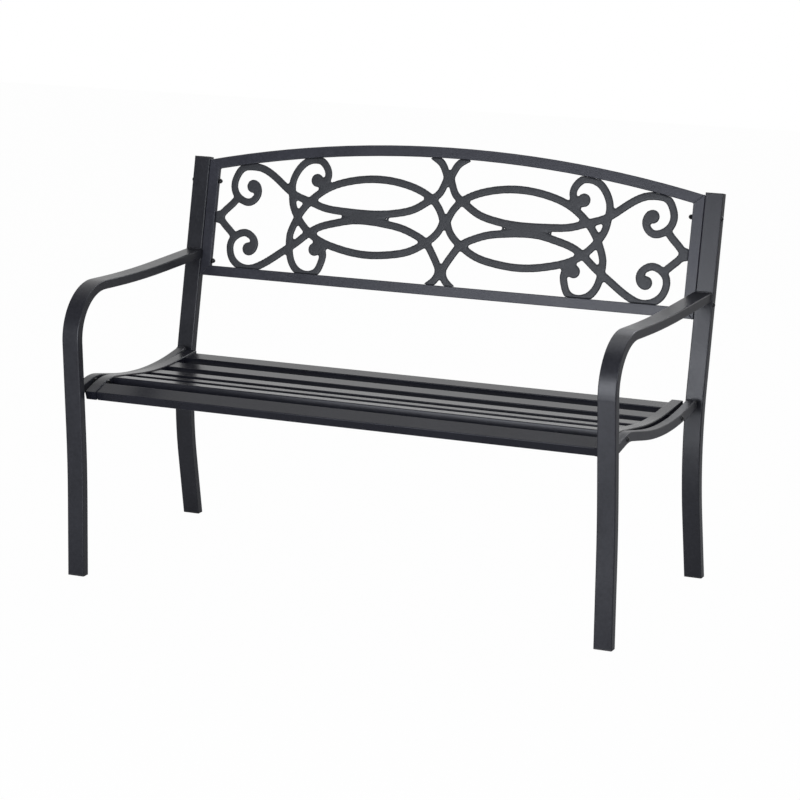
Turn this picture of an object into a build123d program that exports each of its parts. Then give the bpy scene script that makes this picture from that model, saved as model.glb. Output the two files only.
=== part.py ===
from build123d import *
import os
from math import cos, radians, sin, sqrt, tan

# A park bench of coated steel tube with two bent side frames, a slatted seat and a scrollwork back.
# Millimetres and degrees. The depth runs from the front of the front feet towards the back, and the
# height from the floor. Side view lines are given by their front or top edge.

# Whole bench
bench_width = 1278.0
cut_overrun = 30.0

# Side frame tube. The arms stand a step inside the outer sides of the posts.
frame_tube_width = 40.0
frame_tube_depth = 20.0
frame_tube_wall = 1.5
frame_tube_corner = 2.5
arm_side_step = 4.0

# Front leg and arm, by the outer edge
leg_bow_depth = 15.0
leg_bow_height = 247.7
leg_bow_radius = 2300.0
shoulder_depth = 12.3
shoulder_height = 641.9
shoulder_radius = 117.0
arm_dip_depth = 290.0
arm_dip_drop = 20.9
arm_dip_radius = 3000.0
arm_rear_drop = 21.6

# Back post and rear leg, by the front edge
knee_depth = 485.4
knee_height = 285.6
knee_radius = 772.0
rear_leg_lean = 7.2
post_lean = 14.2
post_length = 557.0

# Plastic plugs in the feet and caps on the posts
plug_lip = 3.0
plug_length = 16.0
plug_clearance = 0.3

# Seat side rails, welded between the leg and the post
rail_tube_width = 20.0
rail_tube_height = 20.0
rail_tube_wall = 1.5
rail_tube_corner = 2.0
rail_side_step = 7.0
rail_ramp_rise = 10.5
rail_crest_height = 428.6
rail_crest_radius = 115.0
rail_dip_setback = 223.8
rail_dip_drop = 50.8
rail_dip_radius = 740.0
rail_rear_rise = 8.5

# Seat end bars, bolted inside the rails
seat_gap = 6.0
end_bar_width = 26.0
end_bar_height = 20.0
end_bar_wall = 1.5
end_bar_corner = 2.0
end_bar_front_depth = 45.0
end_bar_rear_depth = 492.0
end_bar_ramp_rise = 17.4
end_bar_crest_drop = 2.3
end_bar_crest_radius = 159.0
end_bar_dip_setback = 210.1
end_bar_dip_drop = 34.1
end_bar_dip_radius = 767.0
end_bar_rear_rise = 2.6

# The rails and the end bars crest at the same depth
seat_crest_depth = 110.2

# Seat slats
slat_count = 6
slat_width = 41.0
slat_height = 20.0
slat_wall = 1.2
slat_corner = 2.0
slat_drop = 2.5
first_slat_offset = 23.7
slat_pitch = 78.9

# Back frame, measured up the slope of the posts
back_rail_above_knee = 309.2
back_tube_depth = 12.0
back_tube_wall = 1.2
back_tube_corner = 1.5
back_rail_height = 23.0
back_stile_width = 24.6
back_arch_height = 23.5
back_side_gap = 0.7
back_front_step = 1.0
back_opening_height = 282.3
back_arch_radius = 2798.0

# Scroll panel
panel_thickness = 6.0
scroll_width = 17.5
scroll_meeting_width = 5.5
scroll_end_inset = 2.0
bulb_radius = 15.0
scroll_samples_per_point = 6

# Bolts and nuts
bolt_diameter = 6.0
bolt_clearance = 0.3
bolt_head_diameter = 12.0
bolt_head_height = 3.8
nut_across_flats = 10.0
nut_height = 5.0
cap_nut_dome = 4.0
nut_thread_clearance = 0.05
cap_nut_web = 1.5
spacer_diameter = 14.0
lower_back_bolt_height = 11.0
upper_back_bolt_drop = 28.9
front_seat_bolt_depth = 97.5
rear_seat_bolt_depth = 416.0
line_halvings = 30

# Places worked out from the sizes
post_outer = bench_width / 2
post_middle = post_outer - frame_tube_width / 2
post_inner = post_outer - frame_tube_width
arm_middle = post_middle - arm_side_step
rail_outer = post_outer - arm_side_step - rail_side_step
rail_middle = rail_outer - rail_tube_width / 2
rail_inner = rail_outer - rail_tube_width
end_bar_outer = rail_inner - seat_gap
end_bar_middle = end_bar_outer - end_bar_width / 2
end_bar_inner = end_bar_outer - end_bar_width
back_half_width = post_inner - back_side_gap
opening_half_width = back_half_width - back_stile_width

# Scrollwork of one half of the panel. The first share of a point runs from the line where the two
# halves meet to the end of the opening. The second runs from the opening's lower edge up to the
# arch above that point.
upper_end_scroll_shares = [
    (0.846, 0.808), (0.832, 0.794), (0.822, 0.757), (0.820, 0.713), (0.831, 0.662), (0.856, 0.632),
    (0.886, 0.652), (0.916, 0.714), (0.930, 0.806), (0.921, 0.903), (0.898, 0.968), (0.856, 0.972),
    (0.816, 0.949), (0.761, 0.874), (0.714, 0.785), (0.680, 0.722), (0.632, 0.661), (0.586, 0.624),
    (0.528, 0.575), (0.445, 0.544), (0.356, 0.530), (0.266, 0.529), (0.195, 0.546), (0.124, 0.586),
    (0.064, 0.660), (0.024, 0.722), (0.008, 0.788), (0.000, 0.851), (0.009, 0.901), (0.024, 0.952),
    (0.052, 0.994), (0.069, 1.015),
]
upper_inner_scroll_shares = [
    (0.561, 0.782), (0.547, 0.776), (0.531, 0.784), (0.517, 0.813), (0.514, 0.861), (0.526, 0.920),
    (0.550, 0.969), (0.580, 0.983), (0.618, 0.964), (0.654, 0.883), (0.669, 0.787), (0.667, 0.701),
    (0.660, 0.603), (0.638, 0.502), (0.612, 0.428), (0.580, 0.361), (0.526, 0.288), (0.455, 0.238),
    (0.373, 0.204), (0.285, 0.196), (0.208, 0.212), (0.136, 0.246), (0.064, 0.327), (0.022, 0.402),
    (0.000, 0.506),
]
lower_inner_scroll_shares = [
    (0.000, 0.506), (0.013, 0.573), (0.049, 0.663), (0.096, 0.722), (0.167, 0.772), (0.249, 0.803),
    (0.331, 0.810), (0.420, 0.791), (0.496, 0.748), (0.538, 0.702), (0.585, 0.624), (0.626, 0.514),
    (0.648, 0.419), (0.661, 0.324), (0.659, 0.227), (0.647, 0.112), (0.616, 0.024), (0.573, -0.005),
    (0.532, 0.023), (0.512, 0.106), (0.507, 0.168), (0.513, 0.212), (0.528, 0.238), (0.546, 0.236),
]
lower_end_scroll_shares = [
    (0.842, 0.160), (0.827, 0.172), (0.817, 0.205), (0.816, 0.254), (0.833, 0.309), (0.859, 0.340),
    (0.895, 0.322), (0.922, 0.252), (0.924, 0.166), (0.909, 0.080), (0.877, 0.021), (0.833, 0.002),
    (0.791, 0.032), (0.737, 0.103), (0.684, 0.184), (0.631, 0.261), (0.580, 0.349), (0.532, 0.406),
    (0.467, 0.442), (0.396, 0.468), (0.326, 0.469), (0.243, 0.451), (0.171, 0.424), (0.112, 0.380),
    (0.064, 0.325), (0.033, 0.245), (0.011, 0.174), (0.000, 0.118), (0.008, 0.055), (0.031, 0.006),
    (0.049, -0.021),
]
end_link_shares = [(0.912, 0.688), (0.949, 0.590), (0.977, 0.499), (0.949, 0.399), (0.912, 0.306)]
end_link_foot_shares = [(1.010, 0.553), (0.977, 0.574), (0.977, 0.427), (1.010, 0.452)]
bulb_shares = [(0.846, 0.783), (0.561, 0.805), (0.546, 0.214), (0.842, 0.188)]


def inset_line(points, radii, inset):
    """Move a bent line to its right and keep its bends concentric."""
    places = [Vector(*point) for point in points]
    steps = [(after - before).normalized() for before, after in zip(places, places[1:])]
    rights = [Vector(step.Y, -step.X) for step in steps]
    moved = [places[0] + rights[0] * inset]
    new_radii = []
    for index, radius in enumerate(radii):
        both = rights[index] + rights[index + 1]
        moved.append(places[index + 1] + both * (inset / (1 + rights[index].dot(rights[index + 1]))))
        turns_right = steps[index].cross(steps[index + 1]).Z < 0
        new_radii.append(radius - inset if turns_right else radius + inset)
    moved.append(places[-1] + rights[-1] * inset)
    return moved, new_radii


def lengthened(points, at_start, at_end):
    """Stretch both ends of a line, or shorten them with a negative length."""
    first = points[0] + (points[0] - points[1]).normalized() * at_start
    last = points[-1] + (points[-1] - points[-2]).normalized() * at_end
    return [first, *points[1:-1], last]


def side_route(across, points, radii):
    """Make a filleted line in a side view plane, from points of depth and height."""
    return FilletPolyline(*[(across, point.X, point.Y) for point in points], radius=radii)


def swept_bar(section, route):
    """Sweep a section along a route in a side view plane, with its width across the bench."""
    start = Plane(origin=route @ 0, x_dir=(1, 0, 0), z_dir=route % 0)
    return sweep(start * section, path=route)


def outer_section(width, height, corner):
    return RectangleRounded(width, height, corner)


def inner_section(width, height, wall, corner, clearance=0):
    loss = 2 * (wall + clearance)
    return RectangleRounded(width - loss, height - loss, corner - wall)


def tube_section(width, height, wall, corner):
    return outer_section(width, height, corner) - inner_section(width, height, wall, corner)


def kept_above(solid, height):
    return split(solid, bisect_by=Plane.XY.offset(height), keep=Keep.TOP)


def kept_below(solid, height):
    return split(solid, bisect_by=Plane.XY.offset(height), keep=Keep.BOTTOM)


def cross_hole(radius, low, high, depth, height):
    """Make a round bar across the bench from one distance from the middle to another."""
    start = Plane(origin=(low, depth, height), x_dir=(0, 1, 0), z_dir=(1, 0, 0))
    return extrude(start * Circle(radius), amount=high - low)


def facing(across):
    """Make a plane that looks away from the middle of the bench."""
    return lambda depth, height: Plane(
        origin=(across, depth, height), x_dir=(0, 1, 0), z_dir=(1, 0, 0)
    )


def leg_and_arm_lines():
    """Give the middle line of a front leg and arm, up to the front face of the post."""
    rear_height = shoulder_height - arm_rear_drop
    points = [
        (0, 0),
        (leg_bow_depth, leg_bow_height),
        (shoulder_depth, shoulder_height),
        (arm_dip_depth, shoulder_height - arm_dip_drop),
        (knee_depth + (rear_height - knee_height) * tan(radians(post_lean)), rear_height),
    ]
    radii = [leg_bow_radius, shoulder_radius, arm_dip_radius]
    return inset_line(points, radii, frame_tube_depth / 2)


def post_lines():
    """Give the middle line of a rear leg and back post, up to its top."""
    points = [
        (knee_depth + knee_height * tan(radians(rear_leg_lean)), 0),
        (knee_depth, knee_height),
        (
            knee_depth + post_length * sin(radians(post_lean)),
            knee_height + post_length * cos(radians(post_lean)),
        ),
    ]
    return inset_line(points, [knee_radius], frame_tube_depth / 2)


def seat_points(crest, dip, front_depth, ramp_rise, rear_depth, rear_rise):
    """Give the top edge of a seat rail or end bar: a short ramp, a crest and a long dip."""
    front_fall = (crest[0] - front_depth) * tan(radians(ramp_rise))
    rear_climb = (rear_depth - dip[0]) * tan(radians(rear_rise))
    return [(front_depth, crest[1] - front_fall), crest, dip, (rear_depth, dip[1] + rear_climb)]


def rail_lines():
    """Give the middle line of a side rail, which runs into the leg and the post."""
    leg_points, _ = leg_and_arm_lines()
    post_points, _ = post_lines()
    crest = (seat_crest_depth, rail_crest_height)
    dip = (seat_crest_depth + rail_dip_setback, rail_crest_height - rail_dip_drop)
    points = seat_points(crest, dip, leg_points[2].X, rail_ramp_rise, post_points[1].X, rail_rear_rise)
    return inset_line(points, [rail_crest_radius, rail_dip_radius], rail_tube_height / 2)


def end_bar_lines(inset):
    """Give a line that runs along an end bar, an inset below its top edge."""
    crest = (seat_crest_depth, rail_crest_height - end_bar_crest_drop)
    dip = (crest[0] + end_bar_dip_setback, crest[1] - end_bar_dip_drop)
    points = seat_points(
        crest, dip, end_bar_front_depth, end_bar_ramp_rise, end_bar_rear_depth, end_bar_rear_rise
    )
    return inset_line(points, [end_bar_crest_radius, end_bar_dip_radius], inset)


def frame_tube(across, points, radii):
    section = tube_section(frame_tube_width, frame_tube_depth, frame_tube_wall, frame_tube_corner)
    return swept_bar(section, side_route(across, points, radii))


def frame_envelope(across, points, radii):
    """Fill a side frame tube, for cutting what is welded against it."""
    section = outer_section(frame_tube_width, frame_tube_depth, frame_tube_corner)
    return swept_bar(section, side_route(across, points, radii))


def arm_front_leg(side):
    points, radii = leg_and_arm_lines()
    tube = frame_tube(side * arm_middle, lengthened(points, cut_overrun, cut_overrun), radii)
    tube = kept_above(tube, plug_lip)
    forward = (0, -cos(radians(post_lean)), sin(radians(post_lean)))
    post_front = Plane(origin=(0, knee_depth, knee_height), x_dir=(1, 0, 0), z_dir=forward)
    return split(tube, bisect_by=post_front, keep=Keep.TOP)


def back_post(side):
    points, radii = post_lines()
    tube = frame_tube(side * post_middle, lengthened(points, cut_overrun, -plug_lip), radii)
    tube = kept_above(tube, plug_lip)
    for depth, height in back_bolt_places():
        tube -= mirrored_hole(side, depth, height, post_inner, post_outer)
    return tube


def mirrored_hole(side, depth, height, inner, outer):
    """Drill a bolt hole across a piece on the left (-1) or the right (1)."""
    low, high = sorted((side * (inner - cut_overrun), side * (outer + cut_overrun)))
    return cross_hole(bolt_diameter / 2 + bolt_clearance, low, high, depth, height)


def back_plane():
    """Place the middle plane of the back, with its origin on the lower rail's top edge."""
    up = Vector(sin(radians(post_lean)), cos(radians(post_lean)))
    rearward = Vector(up.Y, -up.X)
    origin = Vector(knee_depth, knee_height) + up * back_rail_above_knee
    origin += rearward * (back_front_step + back_tube_depth / 2)
    return Plane(origin=(0, origin.X, origin.Y), x_dir=(1, 0, 0), z_dir=(0, -up.Y, up.X))


def back_bolt_places():
    """Give the depth and height of the back bolts, near the opening's lower and upper corners."""
    plane = back_plane()
    upper_corner = arch_height_at(opening_half_width, back_arch_radius)
    heights = (lower_back_bolt_height, upper_corner - upper_back_bolt_drop)
    places = [plane.from_local_coords((0, height, 0)) for height in heights]
    return [(place.Y, place.Z) for place in places]


def place_at_depth(route, depth):
    """Find the point of a seat line that lies at a depth, by halving the line."""
    low, high = 0.0, 1.0
    for _ in range(line_halvings):
        middle = (low + high) / 2
        if (route @ middle).Y < depth:
            low = middle
        else:
            high = middle
    return route @ low


def seat_bolt_places():
    """Give the depth and height of the seat bolts, on the middle line of the rails."""
    points, radii = rail_lines()
    route = side_route(rail_middle, points, radii)
    places = [place_at_depth(route, depth) for depth in (front_seat_bolt_depth, rear_seat_bolt_depth)]
    return [(place.Y, place.Z) for place in places]


def seat_side_rail(side):
    points, radii = rail_lines()
    section = tube_section(rail_tube_width, rail_tube_height, rail_tube_wall, rail_tube_corner)
    rail = swept_bar(section, side_route(side * rail_middle, points, radii))
    rail -= frame_envelope(side * arm_middle, *leg_and_arm_lines())
    rail -= frame_envelope(side * post_middle, *post_lines())
    for depth, height in seat_bolt_places():
        rail -= mirrored_hole(side, depth, height, rail_inner, rail_outer)
    return rail


def seat_end_bar(side):
    """Bend a closed box bar: the hollow stops one wall short of each end."""
    points, radii = end_bar_lines(end_bar_height / 2)
    across = side * end_bar_middle
    bar = swept_bar(
        outer_section(end_bar_width, end_bar_height, end_bar_corner), side_route(across, points, radii)
    )
    hollow_points = lengthened(points, -end_bar_wall, -end_bar_wall)
    bar -= swept_bar(
        inner_section(end_bar_width, end_bar_height, end_bar_wall, end_bar_corner),
        side_route(across, hollow_points, radii),
    )
    for depth, height in seat_bolt_places():
        bar -= mirrored_hole(side, depth, height, end_bar_inner, end_bar_outer)
    return bar


def seat_slat(index):
    """Lay a slat square to the end bars' top line, a little below it."""
    points, radii = end_bar_lines(0)
    route = side_route(0, points, radii)
    distance = first_slat_offset + index * slat_pitch
    top = route.position_at(distance, position_mode=PositionMode.LENGTH)
    along = route.tangent_at(distance, position_mode=PositionMode.LENGTH)
    down = Vector(0, along.Z, -along.Y)
    middle = top + down * (slat_drop + slat_height / 2)
    section = tube_section(slat_width, slat_height, slat_wall, slat_corner)
    start = Plane(origin=(-end_bar_inner, middle.Y, middle.Z), x_dir=along, z_dir=(1, 0, 0))
    return extrude(start * section, amount=2 * end_bar_inner)


def arch_height_at(across, radius):
    """Give the height of an arch line above the opening's lower edge."""
    return back_opening_height - back_arch_radius + sqrt(radius**2 - across**2)


def back_corners():
    """Give the inner and outer mitre corners of the back frame's right side, bottom first."""
    arch_outer_radius = back_arch_radius + back_arch_height
    bottom = (Vector(opening_half_width, 0), Vector(back_half_width, -back_rail_height))
    top = (
        Vector(opening_half_width, arch_height_at(opening_half_width, back_arch_radius)),
        Vector(back_half_width, arch_height_at(back_half_width, arch_outer_radius)),
    )
    return bottom, top


def mitred(tube, inner, outer, inside):
    """Cut a tube along the line through two corners and keep the side of a point."""
    line = outer - inner
    normal = Vector(-line.Y, line.X)
    if (inside - inner).dot(normal) < 0:
        normal = normal * -1
    return split(tube, bisect_by=Plane(origin=inner, z_dir=normal), keep=Keep.TOP)


def flipped(corner):
    return Vector(-corner.X, corner.Y)


def back_section(width):
    """Make a back frame tube's section, with its depth first."""
    return tube_section(back_tube_depth, width, back_tube_wall, back_tube_corner)


def back_tube(route, width):
    start = Plane(origin=route @ 0, x_dir=(0, 0, 1), z_dir=route % 0)
    return sweep(start * back_section(width), path=route)


def back_bottom_rail():
    reach = back_half_width + cut_overrun
    middle = -back_rail_height / 2
    tube = back_tube(Line((-reach, middle), (reach, middle)), back_rail_height)
    (inner, outer), _ = back_corners()
    inside = Vector(0, middle)
    tube = mitred(tube, inner, outer, inside)
    tube = mitred(tube, flipped(inner), flipped(outer), inside)
    return back_plane() * tube


def back_arch_rail():
    reach = back_half_width + cut_overrun
    radius = back_arch_radius + back_arch_height / 2
    ends = arch_height_at(reach, radius)
    crown = arch_height_at(0, radius)
    tube = back_tube(ThreePointArc((-reach, ends), (0, crown), (reach, ends)), back_arch_height)
    _, (inner, outer) = back_corners()
    inside = Vector(0, crown)
    tube = mitred(tube, inner, outer, inside)
    tube = mitred(tube, flipped(inner), flipped(outer), inside)
    return back_plane() * tube


def back_stile(side):
    bottom, top = back_corners()
    across = side * (back_half_width - back_stile_width / 2)
    low = -back_rail_height - cut_overrun
    high = top[1].Y + cut_overrun
    tube = back_tube(Line((across, low), (across, high)), back_stile_width)
    inside = Vector(across, top[0].Y / 2)
    for inner, outer in (bottom, top):
        if side < 0:
            inner, outer = flipped(inner), flipped(outer)
        tube = mitred(tube, inner, outer, inside)
    tube = back_plane() * tube
    for depth, height in back_bolt_places():
        tube -= mirrored_hole(side, depth, height, opening_half_width, back_half_width)
    return tube


def panel_place(shares):
    """Find a point of the scrollwork on the back's own plane."""
    scroll_half_width = opening_half_width - scroll_end_inset
    across = scroll_meeting_width + shares[0] * (scroll_half_width - scroll_meeting_width)
    return Vector(across, shares[1] * arch_height_at(across, back_arch_radius))


def scroll_bar(shares):
    """Give a curved line of the scrollwork the width of its bar."""
    route = Spline(*[panel_place(point_shares) for point_shares in shares])
    samples = scroll_samples_per_point * len(shares)
    left, right = [], []
    for index in range(samples + 1):
        place = route @ (index / samples)
        along = route % (index / samples)
        aside = Vector(-along.Y, along.X) * (scroll_width / 2)
        left.append(place + aside)
        right.append(place - aside)
    right.reverse()
    outline = Curve() + [
        Spline(*left),
        Line(left[-1], right[0]),
        Spline(*right),
        Line(right[-1], left[0]),
    ]
    return make_face(outline)


def panel_opening():
    _, (corner, _) = back_corners()
    outline = Curve() + [
        Line((-corner.X, 0), (corner.X, 0)),
        Line((corner.X, 0), (corner.X, corner.Y)),
        ThreePointArc((corner.X, corner.Y), (0, back_opening_height), (-corner.X, corner.Y)),
        Line((-corner.X, corner.Y), (-corner.X, 0)),
    ]
    return make_face(outline)


def scroll_panel():
    """Cast the scrollwork as one plate that fills the back frame's opening."""
    bars = [
        scroll_bar(shares)
        for shares in (
            upper_end_scroll_shares,
            upper_inner_scroll_shares,
            lower_inner_scroll_shares,
            lower_end_scroll_shares,
            end_link_shares,
        )
    ]
    foot = make_face(Polyline(*[panel_place(shares) for shares in end_link_foot_shares], close=True))
    bulbs = [Pos(*panel_place(shares)) * Circle(bulb_radius) for shares in bulb_shares]
    half = Sketch() + [*bars, foot, *bulbs]
    drawing = half + mirror(half, about=Plane.YZ)
    drawing = drawing & panel_opening()
    plate = extrude(drawing, amount=panel_thickness / 2, both=True)
    return back_plane() * plate


def turned_out(side, piece):
    """Put a piece made for the right side on the side asked for."""
    return piece if side > 0 else mirror(piece, about=Plane.YZ)


def domed_head(radius, height):
    """Make a low round head on the XY plane, its top a slice of a ball."""
    ball_radius = (radius**2 + height**2) / (2 * height)
    ball = Pos(0, 0, height - ball_radius) * Sphere(ball_radius)
    return split(ball, bisect_by=Plane.XY, keep=Keep.TOP)


def bolt(head_place, grip):
    """Make a bolt whose head sits outside and whose shank runs in towards the middle."""
    head = head_place * domed_head(bolt_head_diameter / 2, bolt_head_height)
    shank = head_place * extrude(Circle(bolt_diameter / 2), amount=-grip)
    return head + shank


def hexagon():
    return RegularPolygon(nut_across_flats / 2, 6, major_radius=False)


def plain_nut(place):
    """Make a hexagon nut whose face lies on a plane that looks out, and that reaches in."""
    bore = Circle(bolt_diameter / 2 + nut_thread_clearance)
    return place * extrude(hexagon() - bore, amount=-nut_height)


def cap_nut(place):
    """Make a closed nut: a hexagon with a dome, and a blind bore."""
    dome = Rot(180, 0, 0) * domed_head(nut_across_flats / 2, cap_nut_dome)
    body = extrude(hexagon(), amount=-nut_height) + Pos(0, 0, -nut_height) * dome
    bore_depth = nut_height + cap_nut_dome - cap_nut_web
    return place * (body - extrude(Circle(bolt_diameter / 2 + nut_thread_clearance), amount=-bore_depth))


def both_sides(pieces):
    """Copy pieces made for the right side to the left, as separate solids."""
    copies = [turned_out(side, piece) for side in (-1, 1) for piece in pieces]
    return Compound([solid for copy in copies for solid in copy.solids()])


def back_bolts():
    grip = post_outer - opening_half_width + nut_height
    outside = facing(post_outer)
    return both_sides([bolt(outside(*place), grip) for place in back_bolt_places()])


def back_cap_nuts():
    inside = facing(opening_half_width)
    return both_sides([cap_nut(inside(*place)) for place in back_bolt_places()])


def seat_bolts():
    grip = rail_outer - end_bar_inner + nut_height
    outside = facing(rail_outer)
    return both_sides([bolt(outside(*place), grip) for place in seat_bolt_places()])


def seat_nuts():
    inside = facing(end_bar_inner)
    return both_sides([plain_nut(inside(*place)) for place in seat_bolt_places()])


def seat_spacers():
    """Make the rings that hold the end bars off the side rails."""
    ring = Circle(spacer_diameter / 2) - Circle(bolt_diameter / 2 + bolt_clearance)
    start = facing(end_bar_outer)
    return both_sides([start(*place) * extrude(ring, amount=seat_gap) for place in seat_bolt_places()])


def post_caps():
    """Cap the posts: a lip as large as the tube, and a plug inside it."""
    points, _ = post_lines()
    up = (points[2] - points[1]).normalized()
    top = Plane(origin=(post_middle, points[2].X, points[2].Y), x_dir=(1, 0, 0), z_dir=(0, up.X, up.Y))
    lip = extrude(outer_section(frame_tube_width, frame_tube_depth, frame_tube_corner), amount=-plug_lip)
    plug_face = inner_section(
        frame_tube_width, frame_tube_depth, frame_tube_wall, frame_tube_corner, plug_clearance
    )
    plug = extrude(plug_face, amount=-plug_lip - plug_length)
    return both_sides([top * (lip + plug)])


def foot_plug(across, points):
    """Plug a leg's lower end, with a lip that stands flat on the floor."""
    up = (points[1] - points[0]).normalized()
    start = points[0] - up * cut_overrun
    plane = Plane(origin=(across, start.X, start.Y), x_dir=(1, 0, 0), z_dir=(0, up.X, up.Y))
    reach = 2 * cut_overrun + plug_length
    outer = plane * extrude(outer_section(frame_tube_width, frame_tube_depth, frame_tube_corner), amount=reach)
    plug_face = inner_section(
        frame_tube_width, frame_tube_depth, frame_tube_wall, frame_tube_corner, plug_clearance
    )
    inner = plane * extrude(plug_face, amount=reach)
    lip = kept_below(kept_above(outer, 0), plug_lip)
    plug = kept_below(kept_above(inner, 0), plug_lip + plug_length)
    return lip + plug


def foot_plugs():
    leg_points, _ = leg_and_arm_lines()
    post_points, _ = post_lines()
    return both_sides([foot_plug(arm_middle, leg_points), foot_plug(post_middle, post_points)])


def bench_pieces():
    """Build every piece under its own name."""
    pieces = {}
    for name, side in (("left", -1), ("right", 1)):
        pieces[f"{name}_arm_front_leg"] = arm_front_leg(side)
        pieces[f"{name}_back_post"] = back_post(side)
        pieces[f"{name}_seat_side_rail"] = seat_side_rail(side)
        pieces[f"{name}_seat_end_bar"] = seat_end_bar(side)
        pieces[f"{name}_back_stile"] = back_stile(side)
    for index in range(slat_count):
        pieces[f"seat_slat_{index + 1}"] = seat_slat(index)
    pieces["back_arch_rail"] = back_arch_rail()
    pieces["back_bottom_rail"] = back_bottom_rail()
    pieces["scroll_panel"] = scroll_panel()
    pieces["back_bolts"] = back_bolts()
    pieces["back_cap_nuts"] = back_cap_nuts()
    pieces["seat_bolts"] = seat_bolts()
    pieces["seat_nuts"] = seat_nuts()
    pieces["seat_spacers"] = seat_spacers()
    pieces["post_caps"] = post_caps()
    pieces["foot_plugs"] = foot_plugs()
    return pieces


def write_bench():
    """Write every piece, with the origin on the floor in the middle of the bench's outer box."""
    pieces = bench_pieces()
    box = Compound([solid for piece in pieces.values() for solid in piece.solids()]).bounding_box()
    middle = box.center()
    os.makedirs("parts", exist_ok=True)
    for name, piece in pieces.items():
        export_step(Pos(-middle.X, -middle.Y, 0) * Compound(piece.solids()), f"parts/{name}.step")
    print(f"depth shift {middle.Y:.3f}, box {box.size.X:.1f} x {box.size.Y:.1f} x {box.size.Z:.1f}")


write_bench()
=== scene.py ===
"""Looks of a park bench of coated steel tube with a slatted seat and a cast scrollwork back."""

import logging
import math
import random
from dataclasses import dataclass
from enum import Enum
from typing import Callable, Iterator, Sequence

import bpy
from mathutils import Matrix, Vector


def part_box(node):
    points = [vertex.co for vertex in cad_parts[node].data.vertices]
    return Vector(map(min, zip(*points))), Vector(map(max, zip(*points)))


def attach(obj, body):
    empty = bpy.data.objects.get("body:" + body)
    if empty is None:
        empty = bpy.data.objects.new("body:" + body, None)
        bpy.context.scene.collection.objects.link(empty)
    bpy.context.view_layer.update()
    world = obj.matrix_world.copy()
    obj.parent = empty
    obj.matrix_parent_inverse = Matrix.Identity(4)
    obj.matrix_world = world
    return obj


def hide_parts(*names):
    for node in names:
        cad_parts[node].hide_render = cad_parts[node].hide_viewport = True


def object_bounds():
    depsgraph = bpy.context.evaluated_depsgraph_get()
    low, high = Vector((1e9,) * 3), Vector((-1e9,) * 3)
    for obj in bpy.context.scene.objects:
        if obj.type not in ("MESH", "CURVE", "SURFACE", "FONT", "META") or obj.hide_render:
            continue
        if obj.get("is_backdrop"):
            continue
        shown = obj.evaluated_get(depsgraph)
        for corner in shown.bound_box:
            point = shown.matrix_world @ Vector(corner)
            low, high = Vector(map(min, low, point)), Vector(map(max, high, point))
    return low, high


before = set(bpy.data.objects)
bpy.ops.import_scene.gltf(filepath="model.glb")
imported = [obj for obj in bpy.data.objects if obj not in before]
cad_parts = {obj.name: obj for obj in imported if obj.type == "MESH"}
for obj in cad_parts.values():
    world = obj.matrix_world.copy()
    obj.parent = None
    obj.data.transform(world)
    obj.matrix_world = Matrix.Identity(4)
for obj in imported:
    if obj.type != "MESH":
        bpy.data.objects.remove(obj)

log = logging.getLogger("bench")

ROOT = "root"
MM = 0.001
MERGE_DISTANCE = 0.01 * MM
FLAT_ANGLE = math.radians(0.5)

# The Mix nodes have several sockets of the same name, so theirs go by number.
MIX_SHARE = 0
COLOUR_MIX_FIRST = 6
COLOUR_MIX_SECOND = 7
COLOUR_MIX_RESULT = 2
SHADER_MIX_FIRST = 1
SHADER_MIX_SECOND = 2

WHITE = (1.0, 1.0, 1.0, 1.0)

Colour = tuple[float, float, float]
Place = tuple[float, float, float]
Range = tuple[float, float]
Settings = dict[str, object]
Inputs = dict[str | int, object]
Socket = bpy.types.NodeSocket


class Side(Enum):
    """The two sides of the bench, as seen from the front."""

    LEFT = -1
    RIGHT = 1

    @property
    def word(self) -> str:
        """The side's name, as the piece names have it."""
        return self.name.lower()


class Slot(Enum):
    """The record's material slots."""

    FRAME = "frame_steel"
    SEAT = "seat_steel"
    BACK = "back_steel"
    SCROLL = "scroll_casting"
    FASTENERS = "fasteners"
    PLASTIC = "plastic_caps"


Finishes = dict[Slot, bpy.types.Material]
BuildMethod = Callable[[Finishes], list[bpy.types.Object]]


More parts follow.
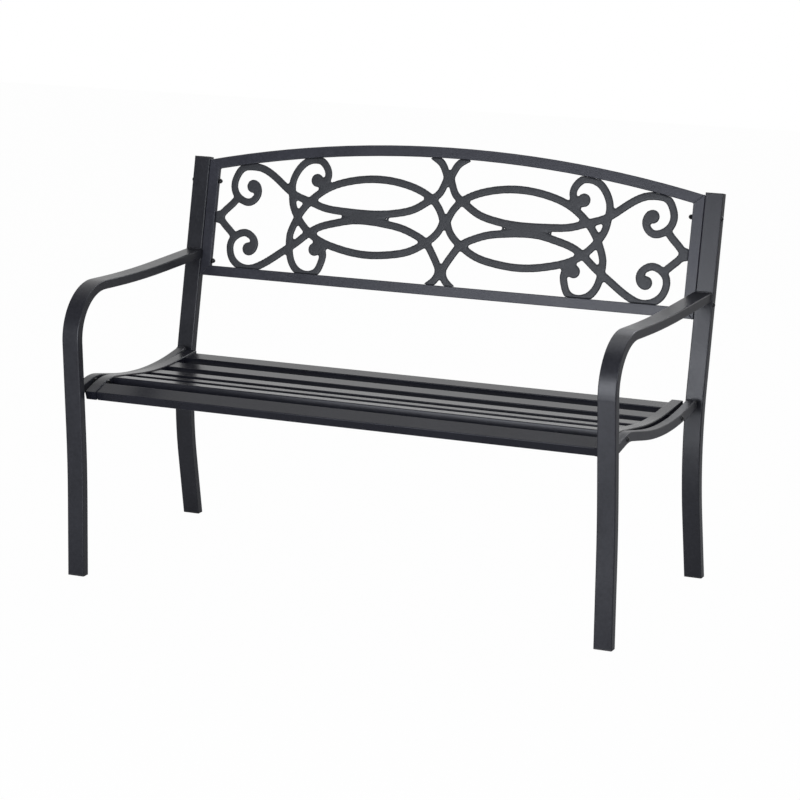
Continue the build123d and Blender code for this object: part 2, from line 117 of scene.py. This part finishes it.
class Value:
    """A number socket of a node tree that can stand in a sum."""

    def __init__(self, nodes: "NodeTree", socket: Socket) -> None:
        """Wrap a socket.

        Args:
            nodes: The node tree that the socket belongs to.
            socket: The output socket that carries the number.
        """
        self.nodes = nodes
        self.socket = socket

    def _math(self, operation: str, first: "Value | float", second: "Value | float") -> "Value":
        """Add a Math node.

        Args:
            operation: The node's operation.
            first: The first number.
            second: The second number.

        Returns:
            The node's result.
        """
        made = self.nodes.node("ShaderNodeMath", {"operation": operation}, {0: first, 1: second})
        return Value(self.nodes, made.outputs[0])

    def __add__(self, other: "Value | float") -> "Value":
        """Add."""
        return self._math("ADD", self, other)

    def __radd__(self, other: float) -> "Value":
        """Add to a plain number."""
        return self._math("ADD", other, self)

    def __sub__(self, other: "Value | float") -> "Value":
        """Subtract."""
        return self._math("SUBTRACT", self, other)

    def __rsub__(self, other: float) -> "Value":
        """Subtract from a plain number."""
        return self._math("SUBTRACT", other, self)

    def __mul__(self, other: "Value | float") -> "Value":
        """Multiply."""
        return self._math("MULTIPLY", self, other)

    def __rmul__(self, other: float) -> "Value":
        """Multiply a plain number."""
        return self._math("MULTIPLY", other, self)

    def __pow__(self, other: float) -> "Value":
        """Raise to a power."""
        return self._math("POWER", self, other)

    def at_least(self, low: float) -> "Value":
        """Take the larger of this and a plain number."""
        return self._math("MAXIMUM", self, low)

    def at_most(self, high: float) -> "Value":
        """Take the smaller of this and a plain number."""
        return self._math("MINIMUM", self, high)

    def within(self) -> "Value":
        """Keep the number from 0 to 1."""
        return self.at_least(0.0).at_most(1.0)

    def stretched(self, low: float, high: float) -> "Value":
        """Spread the part between two values over 0 to 1.

        Args:
            low: What becomes 0.
            high: What becomes 1.

        Returns:
            The spread value, kept from 0 to 1.
        """
        return ((self - low) * (1.0 / (high - low))).within()

    def swung(self, spread: float) -> "Value":
        """Turn 0 to 1 into a swing about zero, half the spread each way."""
        return (self - 0.5) * spread

    def blended(self, other: "Value", share: float = 0.5) -> "Value":
        """Blend with another value.

        Args:
            other: The other value.
            share: How much of this one there is, from 0 to 1.

        Returns:
            The blend.
        """
        return self * share + other * (1.0 - share)


class NodeTree:
    """A node tree, with one way to add a node."""

    def __init__(self, tree: bpy.types.NodeTree) -> None:
        """Empty a tree.

        Args:
            tree: The tree of a material or a world.
        """
        self.tree = tree
        self.tree.nodes.clear()

    def node(self, kind: str, settings: Settings, inputs: Inputs) -> bpy.types.Node:
        """Add a node.

        Args:
            kind: The node's type.
            settings: What is set on the node itself, before its sockets.
            inputs: A value, a Value or a socket for each input, by name or number.

        Returns:
            The new node.
        """
        made = self.tree.nodes.new(kind)
        for name, setting in settings.items():
            setattr(made, name, setting)
        for name, value in inputs.items():
            socket = made.inputs[name]
            if isinstance(value, Value):
                self.tree.links.new(value.socket, socket)
            elif isinstance(value, Socket):
                self.tree.links.new(value, socket)
            else:
                socket.default_value = value
        return made

    def part_of(self, vector: Socket, axis: str) -> Value:
        """Take a vector's part along one axis, X, Y or Z."""
        split = self.node("ShaderNodeSeparateXYZ", {}, {"Vector": vector})
        return Value(self, split.outputs[axis])

    def whiteness(self, straight: float, reflected: "Value | float") -> Value:
        """Tell how white the surroundings look on the way to the camera.

        Args:
            straight: How white they look to the camera itself.
            reflected: How white they look in a gloss or through glass.

        Returns:
            The whiteness, 0 for light that falls on the bench.
        """
        path = self.node("ShaderNodeLightPath", {}, {})
        rays = ("Is Camera Ray", "Is Glossy Ray", "Is Transmission Ray")
        camera, glossy, through = (Value(self, path.outputs[ray]) for ray in rays)
        return (camera * straight + (glossy + through) * reflected).at_most(1.0)


class Shader(NodeTree):
    """The node tree of one material."""

    def __init__(self, name: str) -> None:
        """Start an empty material.

        Args:
            name: The material's name.
        """
        self.material = bpy.data.materials.new(name)
        self.material.use_nodes = True
        super().__init__(self.material.node_tree)
        self.place = self.node("ShaderNodeTexCoord", {}, {}).outputs["Object"]

    def noise(self, size: float, detail: float = 2.0, roughness: float = 0.5) -> Value:
        """Add soft noise of a real size.

        Args:
            size: The size of a patch, in metres.
            detail: How many finer layers it has.
            roughness: How strong the finer layers are.

        Returns:
            The noise, about 0.5 on average.
        """
        inputs = {"Vector": self.place, "Scale": 1.0 / size, "Detail": detail, "Roughness": roughness}
        made = self.node("ShaderNodeTexNoise", {"noise_dimensions": "3D"}, inputs)
        return Value(self, made.outputs["Fac"])

    def facing_up(self) -> Value:
        """Tell how far the surface looks up, from 0 to 1."""
        normal = self.node("ShaderNodeNewGeometry", {}, {}).outputs["Normal"]
        return self.part_of(normal, "Z").within()

    def mixed(self, share: Value, first: Colour | Socket, second: Colour) -> Socket:
        """Mix two colours.

        Args:
            share: How much of the second colour there is.
            first: The first colour, plain or from another mix.
            second: The second colour.

        Returns:
            The mixed colour's socket.
        """
        start = first if isinstance(first, Socket) else (*first, 1.0)
        inputs = {MIX_SHARE: share, COLOUR_MIX_FIRST: start, COLOUR_MIX_SECOND: (*second, 1.0)}
        made = self.node("ShaderNodeMix", {"data_type": "RGBA"}, inputs)
        return made.outputs[COLOUR_MIX_RESULT]

    def bumped(self, height: Value, depth: float) -> Socket:
        """Turn a height into a bumped normal.

        Args:
            height: The height, from 0 to 1.
            depth: What a height of 1 is, in metres.

        Returns:
            The normal's socket.
        """
        inputs = {"Height": height, "Distance": depth, "Strength": 1.0}
        return self.node("ShaderNodeBump", {}, inputs).outputs["Normal"]

    def finish_surface(self, surface: Inputs) -> bpy.types.Material:
        """Add the surface shader and the output.

        Args:
            surface: The Principled shader's inputs, by name.

        Returns:
            The finished material.
        """
        shader = self.node("ShaderNodeBsdfPrincipled", {}, surface)
        self.node("ShaderNodeOutputMaterial", {}, {"Surface": shader.outputs[0]})
        return self.material


@dataclass(frozen=True)
class PowderCoat:
    """Baked powder paint on steel: satin, a shade uneven, with a fine pebble and a little dust on top."""

    name: str
    colour: Colour
    light_colour: Colour
    roughness: float = 0.34
    roughness_spread: float = 0.12
    cloud_size: float = 90 * MM
    cloud_share: float = 0.45
    mottle_size: float = 7 * MM
    noise_range: Range = (0.3, 0.7)
    pebble_size: float = 2.2 * MM
    pebble_share: float = 0.7
    pebble_depth: float = 0.1 * MM
    dust_colour: Colour = (0.32, 0.31, 0.29)
    dust_share: float = 0.035
    dust_falloff: float = 3.0
    specular: float = 0.35

    def material(self) -> bpy.types.Material:
        """Build the coat's material.

        Returns:
            The material.
        """
        shader = Shader(self.name)
        clouds = shader.noise(self.cloud_size, detail=3.0).stretched(*self.noise_range)
        mottle = shader.noise(self.mottle_size, detail=3.0, roughness=0.6).stretched(*self.noise_range)
        pebbles = shader.noise(self.pebble_size, roughness=0.55)
        painted = shader.mixed(clouds.blended(mottle, self.cloud_share), self.colour, self.light_colour)
        dust = (shader.facing_up() ** self.dust_falloff) * mottle * self.dust_share
        return shader.finish_surface({
            "Base Color": shader.mixed(dust, painted, self.dust_colour),
            "Roughness": self.roughness + clouds.blended(mottle).swung(self.roughness_spread),
            "Specular IOR Level": self.specular,
            "Normal": shader.bumped(pebbles.blended(mottle, self.pebble_share), self.pebble_depth),
        })


@dataclass(frozen=True)
class CastCoat:
    """Paint over a sand casting: rougher than the tube, with a coarse skin and uneven cover."""

    name: str
    colour: Colour
    light_colour: Colour
    roughness: float = 0.48
    roughness_spread: float = 0.2
    cloud_size: float = 45 * MM
    cloud_range: Range = (0.3, 0.7)
    cloud_share: float = 0.4
    skin_size: float = 4.5 * MM
    skin_range: Range = (0.25, 0.75)
    skin_share: float = 0.7
    skin_depth: float = 0.3 * MM
    pit_size: float = 1.8 * MM
    specular: float = 0.35

    def material(self) -> bpy.types.Material:
        """Build the casting's material.

        Returns:
            The material.
        """
        shader = Shader(self.name)
        clouds = shader.noise(self.cloud_size).stretched(*self.cloud_range)
        skin = shader.noise(self.skin_size, detail=3.0, roughness=0.6).stretched(*self.skin_range)
        pits = shader.noise(self.pit_size)
        painted = shader.mixed(clouds.blended(skin, self.cloud_share), self.colour, self.light_colour)
        return shader.finish_surface({
            "Base Color": painted,
            "Roughness": self.roughness + skin.swung(self.roughness_spread),
            "Specular IOR Level": self.specular,
            "Normal": shader.bumped(skin.blended(pits, self.skin_share), self.skin_depth),
        })


@dataclass(frozen=True)
class FastenerCoat:
    """Black zinc on bolts and nuts: semi-gloss, with fine turning marks and rubbed tops."""

    name: str
    colour: Colour
    rubbed_colour: Colour
    roughness: float = 0.24
    roughness_spread: float = 0.12
    specular: float = 0.3
    mark_size: float = 0.9 * MM
    mark_depth: float = 0.045 * MM
    patch_size: float = 3.6 * MM
    patch_range: Range = (0.45, 0.75)
    bare_share: float = 0.1

    def material(self) -> bpy.types.Material:
        """Build the fasteners' material.

        Returns:
            The material.
        """
        shader = Shader(self.name)
        marks = shader.noise(self.mark_size)
        patches = shader.noise(self.patch_size).stretched(*self.patch_range)
        return shader.finish_surface({
            "Base Color": shader.mixed(patches, self.colour, self.rubbed_colour),
            "Roughness": self.roughness + patches * self.roughness_spread,
            "Specular IOR Level": self.specular,
            "Metallic": patches * self.bare_share,
            "Normal": shader.bumped(marks, self.mark_depth),
        })


@dataclass(frozen=True)
class MouldedPlastic:
    """Black moulded plastic: matt, with a spark-eroded grain and dusty, scuffed patches."""

    name: str
    colour: Colour
    scuffed_colour: Colour
    roughness: float = 0.58
    roughness_spread: float = 0.15
    grain_size: float = 0.8 * MM
    grain_depth: float = 0.064 * MM
    scuff_size: float = 6 * MM
    scuff_range: Range = (0.5, 0.75)

    def material(self) -> bpy.types.Material:
        """Build the plastic's material.

        Returns:
            The material.
        """
        shader = Shader(self.name)
        grain = shader.noise(self.grain_size, detail=1.0)
        scuffs = shader.noise(self.scuff_size, detail=4.0, roughness=0.7).stretched(*self.scuff_range)
        return shader.finish_surface({
            "Base Color": shader.mixed(scuffs, self.colour, self.scuffed_colour),
            "Roughness": self.roughness + scuffs * self.roughness_spread,
            "Normal": shader.bumped(grain, self.grain_depth),
        })


def make_finishes() -> Finishes:
    """Build one material for each slot.

    Returns:
        The materials by slot.
    """
    finishes = {
        Slot.FRAME: PowderCoat(
            "frame_coat",
            colour=(0.0100, 0.0102, 0.0130),
            light_colour=(0.0172, 0.0176, 0.0222)),
        Slot.SEAT: PowderCoat(
            "seat_coat",
            colour=(0.0060, 0.0062, 0.0092),
            light_colour=(0.0112, 0.0116, 0.0165),
            roughness=0.25,
            roughness_spread=0.03,
            pebble_depth=0.01 * MM,
            dust_share=0.01,
            specular=0.25),
        Slot.BACK: PowderCoat(
            "back_coat",
            colour=(0.0155, 0.0159, 0.0215),
            light_colour=(0.0275, 0.0283, 0.0375)),
        Slot.SCROLL: CastCoat(
            "scroll_coat",
            colour=(0.0140, 0.0146, 0.0168),
            light_colour=(0.0340, 0.0356, 0.0395)),
        Slot.FASTENERS: FastenerCoat(
            "fastener_coat",
            colour=(0.005, 0.005, 0.0055),
            rubbed_colour=(0.02, 0.02, 0.022)),
        Slot.PLASTIC: MouldedPlastic(
            "cap_plastic",
            colour=(0.012, 0.012, 0.0125),
            scuffed_colour=(0.035, 0.035, 0.036)),
    }
    return {slot: finish.material() for slot, finish in finishes.items()}


def select_only(*chosen: bpy.types.Object) -> None:
    """Select some objects and nothing else, and make the first one active.

    Args:
        chosen: The objects.
    """
    bpy.ops.object.select_all(action="DESELECT")
    for item in chosen:
        item.select_set(True)
    bpy.context.view_layer.objects.active = chosen[0]


def apply_modifier(piece: bpy.types.Object, kind: str, settings: Settings) -> None:
    """Add a modifier to a piece and apply it.

    Args:
        piece: The piece.
        kind: The modifier's type.
        settings: What is set on the modifier.
    """
    made = piece.modifiers.new(kind.lower(), kind)
    for name, setting in settings.items():
        setattr(made, name, setting)
    select_only(piece)
    bpy.ops.object.modifier_apply(modifier=made.name)


def dress(piece: bpy.types.Object, slot: Slot, finishes: Finishes) -> None:
    """Give a piece its finish.

    Args:
        piece: The piece, a new one or a CAD node.
        slot: The record's slot for it.
        finishes: The materials by slot.
    """
    if piece.data.materials:
        for index in range(len(piece.data.materials)):
            piece.data.materials[index] = finishes[slot]
    else:
        piece.data.materials.append(finishes[slot])


def place_new(piece: bpy.types.Object, name: str, slot: Slot, finishes: Finishes) -> bpy.types.Object:
    """Name, dress and mount a new piece.

    Args:
        piece: The finished mesh object, at the origin.
        name: The piece's name.
        slot: The record's slot for it.
        finishes: The materials by slot.

    Returns:
        The same piece.
    """
    piece.name = name
    piece.data.name = name
    dress(piece, slot, finishes)
    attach(piece, ROOT)
    return piece


@dataclass
class DressedNodes:
    """CAD nodes whose shape is right and that only need their finish."""

    slot: Slot
    names: tuple[str, ...]

    def build(self, finishes: Finishes) -> list[bpy.types.Object]:
        """Dress the nodes.

        Args:
            finishes: The materials by slot.

        Returns:
            The nodes' objects.
        """
        made = []
        for name in self.names:
            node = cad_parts[name]
            dress(node, self.slot, finishes)
            made.append(node)
        return made


def merged_copy(node: str) -> bpy.types.Object:
    """Copy a CAD node and join its loose triangles into one closed mesh.

    Args:
        node: The node's name.

    Returns:
        The copy, with a mesh of its own.
    """
    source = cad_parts[node]
    piece = source.copy()
    piece.data = source.data.copy()
    piece.parent = None
    # The copy is a new piece, so it drops what the frame noted on the node.
    for note in list(piece.keys()):
        del piece[note]
    bpy.context.scene.collection.objects.link(piece)
    select_only(piece)
    bpy.ops.object.mode_set(mode="EDIT")
    bpy.ops.mesh.select_all(action="SELECT")
    bpy.ops.mesh.remove_doubles(threshold=MERGE_DISTANCE)
    bpy.ops.mesh.dissolve_limited(angle_limit=FLAT_ANGLE)
    bpy.ops.object.mode_set(mode="OBJECT")
    if piece.data.has_custom_normals:
        bpy.ops.mesh.customdata_custom_splitnormals_clear()
    return piece


@dataclass
class ScrollPanel:
    """The cast panel: eased edges, webs in its narrow corners and a mould's soft skin."""

    voxel: float = 1.05 * MM
    web: float = 2.4 * MM
    ease: float = 1.5 * MM
    smoothing: int = 5
    smoothing_share: float = 0.5
    most_faces: int = 90000

    def remesh(self, piece: bpy.types.Object) -> None:
        """Mesh the panel afresh, with its small steps merged."""
        apply_modifier(piece, "REMESH", {"mode": "VOXEL", "voxel_size": self.voxel})

    def swell(self, piece: bpy.types.Object, amount: float) -> None:
        """Make the panel thicker all over, or thinner.

        Args:
            piece: The panel.
            amount: How far the surface moves out.
        """
        apply_modifier(piece, "DISPLACE", {"strength": amount, "mid_level": 0.0, "direction": "NORMAL"})

    def build(self, finishes: Finishes) -> list[bpy.types.Object]:
        """Copy the panel's solid, fill its narrow corners and ease its edges.

        Swelling by the web and shrinking back fills the corners. Shrinking by the ease and
        swelling back rounds the edges.

        Args:
            finishes: The materials by slot.

        Returns:
            The panel.
        """
        piece = merged_copy("scroll_panel")
        self.remesh(piece)
        self.swell(piece, self.web)
        self.remesh(piece)
        self.swell(piece, -self.web - self.ease)
        self.remesh(piece)
        self.swell(piece, self.ease)
        apply_modifier(piece, "SMOOTH", {"factor": self.smoothing_share, "iterations": self.smoothing})
        share = min(1.0, self.most_faces / len(piece.data.polygons))
        apply_modifier(piece, "DECIMATE", {"ratio": share})
        select_only(piece)
        bpy.ops.object.shade_smooth()
        place_new(piece, "scroll_casting_panel", Slot.SCROLL, finishes)
        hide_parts("scroll_panel")
        return [piece]


@dataclass
class WeldBead:
    """A weld of small overlapping ripples, laid along a line."""

    name: str
    line: list[Vector]
    ripple_radius: float = 2.3 * MM
    ripple_pitch: float = 1.7 * MM
    ripple_flatness: float = 0.62
    ripple_sides: int = 12
    ripple_rings: int = 8
    unevenness: float = 0.15
    wander: float = 0.25 * MM
    voxel: float = 0.55 * MM
    smoothing: int = 2
    smoothing_share: float = 0.5
    seed: int = 5
    slot: Slot = Slot.FRAME

    def places(self) -> Iterator[tuple[Vector, Vector]]:
        """Walk along the line.

        Yields:
            A place and a direction for each ripple.
        """
        for start, end in zip(self.line, self.line[1:]):
            run = end - start
            count = max(1, round(run.length / self.ripple_pitch))
            for index in range(count):
                yield start + run * (index / count), run.normalized()

    def build(self, finishes: Finishes) -> bpy.types.Object:
        """Lay the ripples, then fuse and smooth them.

        Args:
            finishes: The materials by slot.

        Returns:
            The bead.
        """
        chance = random.Random(self.seed)
        ripples = []
        flat = Matrix.Scale(self.ripple_flatness, 4, (0, 0, 1))
        for place, along in self.places():
            radius = self.ripple_radius * chance.uniform(1 - self.unevenness, 1 + self.unevenness)
            stray = Vector([chance.uniform(-self.wander, self.wander) for _ in range(3)])
            bpy.ops.mesh.primitive_uv_sphere_add(
                segments=self.ripple_sides, ring_count=self.ripple_rings, radius=radius)
            ripple = bpy.context.object
            turn = along.to_track_quat("Z", "Y").to_matrix().to_4x4()
            ripple.data.transform(Matrix.Translation(place + stray) @ turn @ flat)
            ripples.append(ripple)
        select_only(*ripples)
        bpy.ops.object.join()
        bead = bpy.context.object
        apply_modifier(bead, "REMESH", {"mode": "VOXEL", "voxel_size": self.voxel})
        apply_modifier(bead, "SMOOTH", {"factor": self.smoothing_share, "iterations": self.smoothing})
        select_only(bead)
        bpy.ops.object.shade_smooth()
        return place_new(bead, self.name, self.slot, finishes)


@dataclass
class WeldedJoints:
    """The welds of one side frame: the rail at its two ends, and the arm at the post."""

    side: Side
    end_reach: float = 6.0 * MM
    corner: float = 2.0 * MM
    arm_overhang: float = 5.0 * MM
    arm_seed: int = 8

    def end_outline(self, node: str, rear: bool) -> list[Vector]:
        """Find where the end of a tube meets what it is welded to.

        Args:
            node: The tube's node.
            rear: True for the end at the back.

        Returns:
            The four corners of the end, going round: inner top, outer top, outer bottom, inner bottom.
        """
        low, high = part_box(node)
        points = [vertex.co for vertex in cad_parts[node].data.vertices]
        end = high.y if rear else low.y
        near = [point for point in points if abs(point.y - end) < self.end_reach]
        top = max(near, key=lambda point: point.z)
        bottom = min(near, key=lambda point: point.z)
        tops = [point.y for point in near if point.z > top.z - self.corner]
        bottoms = [point.y for point in near if point.z < bottom.z + self.corner]
        pick = max if rear else min
        inner, outer = sorted((low.x, high.x), key=abs)
        return [
            Vector((inner, pick(tops), top.z)),
            Vector((outer, pick(tops), top.z)),
            Vector((outer, pick(bottoms), bottom.z)),
            Vector((inner, pick(bottoms), bottom.z)),
        ]

    def eased(self, corners: Sequence[Vector], closed: bool) -> list[Vector]:
        """Cut the corners of an outline.

        Args:
            corners: The outline's corners.
            closed: True where the last corner joins the first.

        Returns:
            The points of the eased outline.
        """
        points = []
        count = len(corners)
        for index, corner in enumerate(corners):
            if not closed and index in (0, count - 1):
                points.append(corner)
                continue
            before = (corners[index - 1] - corner).normalized()
            after = (corners[(index + 1) % count] - corner).normalized()
            points.append(corner + before * self.corner)
            points.append(corner + after * self.corner)
        if closed:
            points.append(points[0].copy())
        return points

    def build(self, finishes: Finishes) -> list[bpy.types.Object]:
        """Lay the side's welds.

        Args:
            finishes: The materials by slot.

        Returns:
            The beads.
        """
        word = self.side.word
        rail = f"{word}_seat_side_rail"
        made = []
        for rear in (False, True):
            outline = self.eased(self.end_outline(rail, rear), closed=True)
            end = "rear" if rear else "front"
            made.append(WeldBead(f"{word}_rail_{end}_weld", outline).build(finishes))
        inner_top, outer_top, outer_bottom, inner_bottom = self.end_outline(f"{word}_arm_front_leg", True)
        to_post = Vector((self.side.value * self.arm_overhang, 0, 0))
        corners = [inner_top + to_post, outer_top, outer_bottom, inner_bottom + to_post]
        outline = self.eased(corners, closed=False)
        made.append(WeldBead(f"{word}_arm_weld", outline, seed=self.arm_seed).build(finishes))
        return made


@dataclass
class MitreWelds:
    """The ground-down welds at the mitred corners of the back's frame, on one side."""

    side: Side
    bead_radius: float = 1.4 * MM
    bead_pitch: float = 1.2 * MM
    bead_wander: float = 0.1 * MM
    bead_voxel: float = 0.3 * MM
    sunk: float = 0.5 * MM
    post_gap: float = 1.6 * MM
    side_reach: float = 0.5 * MM

    def side_end(self, points: Sequence[Vector], width: float, outwards: float,
                 rise: Vector, top: bool) -> Vector:
        """Find where the mitre meets one side of the stile.

        Args:
            points: The stile's points.
            width: How far that side is from the bench's middle.
            outwards: How far out from that side the bead's line lies.
            rise: The direction in which the stile rises.
            top: True for the stile's upper end.

        Returns:
            The place, not yet moved to the stile's front or back.
        """
        heights = [point.dot(rise) for point in points if abs(abs(point.x) - width) < self.side_reach]
        height = max(heights) if top else min(heights)
        return Vector((self.side.value * (width + outwards), 0, 0)) + rise * height

    def corner_line(self, top: bool) -> list[Vector]:
        """Follow one mitre round the stile, clear of the post.

        Args:
            top: True for the stile's upper end.

        Returns:
            The bead's line: outer front, inner front, inner back, outer back.
        """
        points = [vertex.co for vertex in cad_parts[f"{self.side.word}_back_stile"].data.vertices]
        # The stile leans back, so its highest and its frontmost point are both at its front.
        run = max(points, key=lambda point: point.z) - min(points, key=lambda point: point.y)
        rise = Vector((0, run.y, run.z)).normalized()
        ahead = Vector((0, -rise.z, rise.y))
        depths = [point.dot(ahead) for point in points]
        front = ahead * (max(depths) - self.sunk)
        back = ahead * (min(depths) + self.sunk)
        widths = [abs(point.x) for point in points]
        inner = self.side_end(points, min(widths), self.sunk, rise, top)
        outer = self.side_end(points, max(widths), -self.post_gap, rise, top)
        return [outer + front, inner + front, inner + back, outer + back]

    def build(self, finishes: Finishes) -> list[bpy.types.Object]:
        """Lay the two beads.

        Args:
            finishes: The materials by slot.

        Returns:
            The beads.
        """
        made = []
        for end in ("bottom", "top"):
            bead = WeldBead(
                f"{self.side.word}_{end}_mitre_weld", self.corner_line(end == "top"),
                ripple_radius=self.bead_radius, ripple_pitch=self.bead_pitch,
                wander=self.bead_wander, voxel=self.bead_voxel, slot=Slot.BACK)
            made.append(bead.build(finishes))
        return made


@dataclass(frozen=True)
class Lamp:
    """A soft rectangular lamp. Its place and size are in metres and its power is in watts."""

    name: str
    place: Place
    size: tuple[float, float]
    power: float

    def hang(self, target: Vector, colour: Colour) -> None:
        """Hang the lamp.

        Args:
            target: What it points at.
            colour: The colour of its light.
        """
        data = bpy.data.lights.new(self.name, "AREA")
        data.shape = "RECTANGLE"
        data.size, data.size_y = self.size
        data.energy = self.power
        data.color = colour
        lamp = bpy.data.objects.new(self.name, data)
        bpy.context.scene.collection.objects.link(lamp)
        lamp.location = self.place
        lamp.rotation_euler = (target - Vector(self.place)).to_track_quat("-Z", "Y").to_euler()


@dataclass
class Studio:
    """A pale floor in front of a white backdrop, a dimmer room round it, and soft lamps."""

    floor_size: float = 12.0
    floor_colour: Colour = (0.42, 0.42, 0.42)
    floor_white: float = 0.985
    floor_gloss: float = 0.15
    room_strength: float = 0.16
    backdrop_strength: float = 0.74
    backdrop_reach: Range = (-0.1, 0.7)
    ceiling_reach: Range = (0.25, 0.85)
    ceiling_dimming: float = 0.7
    lamp_colour: Colour = (0.90, 0.93, 1.0)
    lamps: tuple[Lamp, ...] = (
        Lamp("front_softbox", place=(-0.25, -2.8, 0.85), size=(2.3, 1.4), power=78.0),
        Lamp("right_softbox", place=(2.4, -1.6, 1.5), size=(1.0, 1.4), power=30.0),
        Lamp("top_softbox", place=(0.0, 0.3, 2.8), size=(2.4, 1.6), power=14.0),
        Lamp("rear_softbox", place=(0.6, 2.4, 2.5), size=(2.2, 0.9), power=34.0),
    )

    def floor(self) -> None:
        """Lay the floor. It looks white to the camera and keeps the bench's shadow."""
        bpy.ops.mesh.primitive_plane_add(size=self.floor_size, location=(0, 0, 0))
        floor = bpy.context.object
        floor.name = "studio_floor"
        shader = Shader("floor_paper")
        pale = shader.node("ShaderNodeBsdfDiffuse", {}, {"Color": (*self.floor_colour, 1.0)})
        white = shader.node("ShaderNodeEmission", {}, {"Color": WHITE, "Strength": 1.0})
        share = shader.whiteness(self.floor_white, self.floor_gloss)
        mixed = shader.node("ShaderNodeMixShader", {}, {
            MIX_SHARE: share,
            SHADER_MIX_FIRST: pale.outputs[0],
            SHADER_MIX_SECOND: white.outputs[0],
        })
        shader.node("ShaderNodeOutputMaterial", {}, {"Surface": mixed.outputs[0]})
        floor.data.materials.append(shader.material)
        floor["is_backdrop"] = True

    def room(self) -> None:
        """Surround the scene: a white backdrop behind the bench, a dimmer room above and in front.

        The reaches are parts of a unit direction: backwards for the backdrop, upwards for the ceiling.
        """
        world = bpy.data.worlds.new("studio_room")
        world.use_nodes = True
        bpy.context.scene.world = world
        nodes = NodeTree(world.node_tree)
        direction = nodes.node("ShaderNodeTexCoord", {}, {}).outputs["Generated"]
        behind = nodes.part_of(direction, "Y").stretched(*self.backdrop_reach)
        above = nodes.part_of(direction, "Z").stretched(*self.ceiling_reach)
        strength = self.room_strength + behind * (1 - above * self.ceiling_dimming) * self.backdrop_strength
        seen = strength + nodes.whiteness(1.0, behind) * (1 - strength)
        white = nodes.node("ShaderNodeBackground", {}, {"Color": WHITE, "Strength": seen})
        nodes.node("ShaderNodeOutputWorld", {}, {"Surface": white.outputs[0]})

    def build(self) -> None:
        """Set up the floor, the room and the lamps."""
        self.floor()
        self.room()
        low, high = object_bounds()
        middle = (low + high) / 2
        for lamp in self.lamps:
            lamp.hang(middle, self.lamp_colour)


@dataclass
class PhotoCamera:
    """The photograph's camera, solved from the bench's own edges."""

    place_mm: Place = (2668.6, -5582.5, 1966.8)
    azimuth_degrees: float = 25.413
    elevation_degrees: float = 14.463
    roll_degrees: float = -0.586
    focal_px: float = 2961.8
    centre_px: tuple[float, float] = (399.5, 404.2)
    image_px: float = 800.0
    sensor_mm: float = 36.0
    nearest: float = 0.1
    farthest: float = 100.0

    def build(self) -> None:
        """Set up the camera."""
        data = bpy.data.cameras.new("photo_camera")
        data.sensor_width = self.sensor_mm
        data.lens = self.focal_px * self.sensor_mm / self.image_px
        data.shift_x = 0.5 - self.centre_px[0] / self.image_px
        data.shift_y = self.centre_px[1] / self.image_px - 0.5
        data.clip_start = self.nearest
        data.clip_end = self.farthest
        camera = bpy.data.objects.new("photo_camera", data)
        bpy.context.scene.collection.objects.link(camera)
        camera.matrix_world = self.pose()
        bpy.context.scene.camera = camera

    def pose(self) -> Matrix:
        """Work out where the camera stands and how it is turned.

        Returns:
            The camera's place and turn.
        """
        across = math.radians(self.azimuth_degrees)
        lift = math.radians(self.elevation_degrees)
        roll = math.radians(self.roll_degrees)
        level = math.cos(lift)
        ahead = Vector((-math.sin(across) * level, math.cos(across) * level, -math.sin(lift)))
        right = Vector((math.cos(across), math.sin(across), 0.0))
        up = right.cross(ahead)
        rolled_right = right * math.cos(roll) + up * math.sin(roll)
        rolled_up = up * math.cos(roll) - right * math.sin(roll)
        pose = Matrix((rolled_right, rolled_up, -ahead)).transposed().to_4x4()
        pose.translation = Vector(self.place_mm) * MM
        return pose


def both(name: str) -> tuple[str, ...]:
    """Give the names of a node that is on both sides.

    Args:
        name: The name without its side.

    Returns:
        The left and the right name.
    """
    return tuple(f"{side.word}_{name}" for side in Side)


def bench_parts() -> list[tuple[str, BuildMethod]]:
    """List the bench's sub-assemblies in the order of building.

    Returns:
        A label and a build method for each.
    """
    slats = tuple(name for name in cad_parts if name.startswith("seat_slat_"))
    frame_tubes = both("arm_front_leg") + both("back_post") + both("seat_side_rail")
    back_tubes = both("back_stile") + ("back_arch_rail", "back_bottom_rail")
    fasteners = ("back_bolts", "back_cap_nuts", "seat_bolts", "seat_nuts", "seat_spacers")
    return [
        ("side frames", DressedNodes(Slot.FRAME, frame_tubes).build),
        ("seat", DressedNodes(Slot.SEAT, both("seat_end_bar") + slats).build),
        ("back frame", DressedNodes(Slot.BACK, back_tubes).build),
        ("scroll panel", ScrollPanel().build),
        ("fasteners", DressedNodes(Slot.FASTENERS, fasteners).build),
        ("caps and plugs", DressedNodes(Slot.PLASTIC, ("post_caps", "foot_plugs")).build),
        ("left welds", WeldedJoints(Side.LEFT).build),
        ("right welds", WeldedJoints(Side.RIGHT).build),
        ("left mitres", MitreWelds(Side.LEFT).build),
        ("right mitres", MitreWelds(Side.RIGHT).build),
    ]


def main() -> None:
    """Build the bench's looks, the studio and the camera."""
    logging.basicConfig(level=logging.INFO, format="%(message)s")
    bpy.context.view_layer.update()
    bpy.context.scene.view_settings.view_transform = "Standard"
    finishes = make_finishes()
    for label, build in bench_parts():
        pieces = build(finishes)
        log.info("%s: %s", label, ", ".join(piece.name for piece in pieces))
    Studio().build()
    PhotoCamera().build()


if __name__ == "__main__":
    main()
